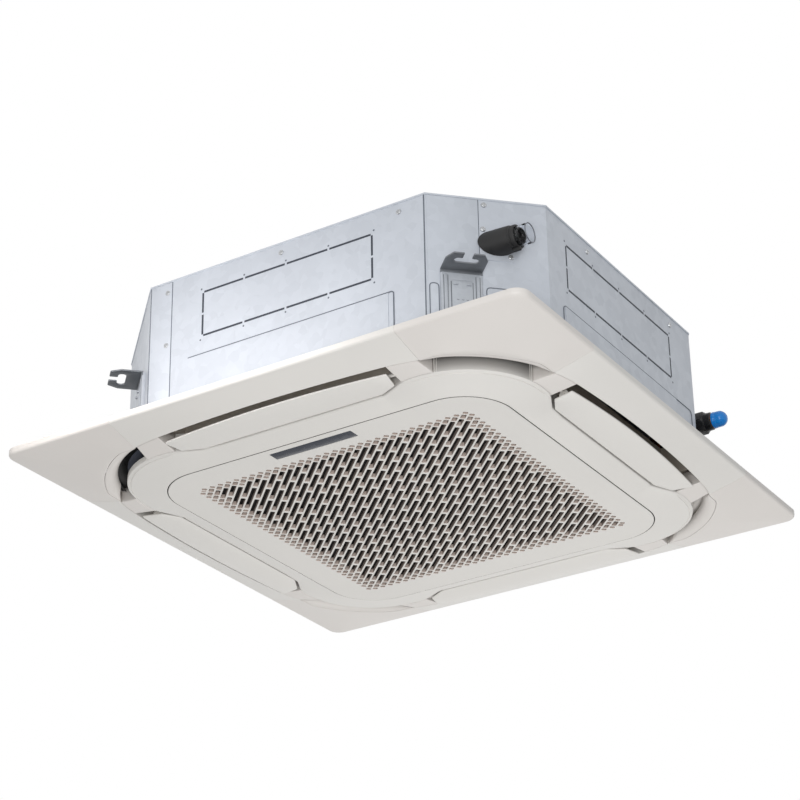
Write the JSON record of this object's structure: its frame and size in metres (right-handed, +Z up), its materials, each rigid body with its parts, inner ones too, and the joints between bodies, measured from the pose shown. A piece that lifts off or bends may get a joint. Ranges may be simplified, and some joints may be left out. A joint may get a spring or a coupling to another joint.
{
  "type": "ceiling cassette air conditioner",
  "caption": "Square ceiling cassette air conditioner: sheet casing on hanger brackets, drain and pipe ends, decor panel with swinging flaps, corner outlets and a hinged slotted intake grille.",
  "frame": {"origin": "midway between the four hanger brackets, in the plane of the undersides of their plates, on the fan's axis", "axes": "+Z up along the fan's axis; -Y is the side with the display window; +X is the side with the drain pipe's end and the refrigerant pipes"},
  "size_m": [0.95, 0.95, 0.294],
  "materials": {
    "galvanised": "zinc-coated sheet, satin",
    "bracket_steel": "zinc-coated strip, satin",
    "foam": null,
    "screw_steel": "plated steel",
    "black_rubber": "matte",
    "clear_pipe": "clear, glossy",
    "copper": null,
    "black_nut": "dark plated brass, satin",
    "blue_cap": "glossy",
    "aluminium": "plain",
    "fan_plastic": "moulded",
    "grey_plastic": "moulded",
    "board": "glass-fibre board",
    "panel_white": "moulded, fine satin grain",
    "flap_white": "moulded, fine satin grain",
    "display_dark": "dark translucent, glossy",
    "filter_mesh": "woven net in a plastic frame"
  },
  "bodies": {
    "unit": {"bell_mouth": "fan_plastic", "casing_screws": "screw_steel", "circuit_board": "board", "coil_end_plates": "aluminium", "coil_fins": "aluminium", "coil_returns": "copper", "control_box": "galvanised", "control_box_cover": "galvanised", "corner_cover_back": "panel_white", "corner_cover_left": "panel_white", "corner_cover_near": "panel_white", "corner_cover_right": "panel_white", "corner_outlet_back": "panel_white", "corner_outlet_left": "panel_white", "corner_outlet_near": "panel_white", "corner_outlet_right": "panel_white", "drain_pan": "foam", "drain_pipe": "clear_pipe", "drain_plate": "galvanised", "drain_pump": "grey_plastic", "drain_sleeve": "black_rubber", "fan_motor": "aluminium", "flap_motors": "grey_plastic", "flare_nuts": "black_nut", "float_guide": "fan_plastic", "hanger_bracket_back": "bracket_steel", "hanger_bracket_left": "bracket_steel", "hanger_bracket_near": "bracket_steel", "hanger_bracket_right": "bracket_steel", "insulation_liner": "foam", "motor_mounts": "screw_steel", "panel_gasket": "foam", "panel_island": "panel_white", "panel_rim": "panel_white", "pipe_caps": "blue_cap", "pipe_cover": "galvanised", "pump_riser": "fan_plastic", "receiver_board": "board", "refrigerant_pipes": "copper", "side_wall_back": "galvanised", "side_wall_front": "galvanised", "side_wall_left": "galvanised", "side_wall_right": "galvanised", "terminal_block": "grey_plastic", "top_plate": "galvanised"},
    "flap_front": {"flap_front": "flap_white"},
    "flap_right": {"flap_right": "flap_white"},
    "flap_back": {"flap_back": "flap_white"},
    "flap_left": {"flap_left": "flap_white"},
    "fan": {"turbo_fan": "fan_plastic", "fan_shaft": "screw_steel", "fan_nut": "screw_steel"},
    "pump_rotor": {"pump_impeller": "fan_plastic"},
    "level_float": {"water_float": "fan_plastic"},
    "grille": {"intake_grille": "panel_white", "display_window": "display_dark"},
    "filter": {"air_filter": "filter_mesh"},
    "catch_left": {"grille_catch_left": "panel_white"},
    "catch_right": {"grille_catch_right": "panel_white"}
  },
  "joints": [
    {"name": "flap_front_swing", "type": "hinge", "parent": "unit", "child": "flap_front", "pos_m": [0, -0.384, -0.137], "axis": [1, 0, 0], "range_deg": [-4, 46]},
    {"name": "flap_right_swing", "type": "hinge", "parent": "unit", "child": "flap_right", "pos_m": [0.384, 0, -0.137], "axis": [0, 1, 0], "range_deg": [-4, 46]},
    {"name": "flap_back_swing", "type": "hinge", "parent": "unit", "child": "flap_back", "pos_m": [0, 0.384, -0.137], "axis": [-1, 0, 0], "range_deg": [-4, 46]},
    {"name": "flap_left_swing", "type": "hinge", "parent": "unit", "child": "flap_left", "pos_m": [-0.384, 0, -0.137], "axis": [0, -1, 0], "range_deg": [-4, 46]},
    {"name": "fan_spin", "type": "hinge", "parent": "unit", "child": "fan", "pos_m": [0, 0, 0], "axis": [0, 0, 1], "continuous": true},
    {"name": "pump_spin", "type": "hinge", "parent": "unit", "child": "pump_rotor", "pos_m": [0.32668, -0.30547, -0.04], "axis": [0, 0, 1], "continuous": true},
    {"name": "float_rise", "type": "slide", "parent": "unit", "child": "level_float", "axis": [0, 0, 1], "range_m": [0, 0.012]},
    {"name": "grille_swing", "type": "hinge", "parent": "unit", "child": "grille", "pos_m": [0, 0.31, -0.1565], "axis": [1, 0, 0], "range_deg": [0, 85]},
    {"name": "filter_slide", "type": "slide", "parent": "grille", "child": "filter", "axis": [0, 1, 0], "range_m": [0, 0.02]},
    {"name": "catch_left_press", "type": "slide", "parent": "unit", "child": "catch_left", "axis": [0, -1, 0], "range_m": [0, 0.004], "stiffness_N_per_m": 500, "springref_m": -0.004},
    {"name": "catch_right_press", "type": "slide", "parent": "unit", "child": "catch_right", "axis": [0, -1, 0], "range_m": [0, 0.004], "stiffness_N_per_m": 500, "springref_m": -0.004}
  ]
}
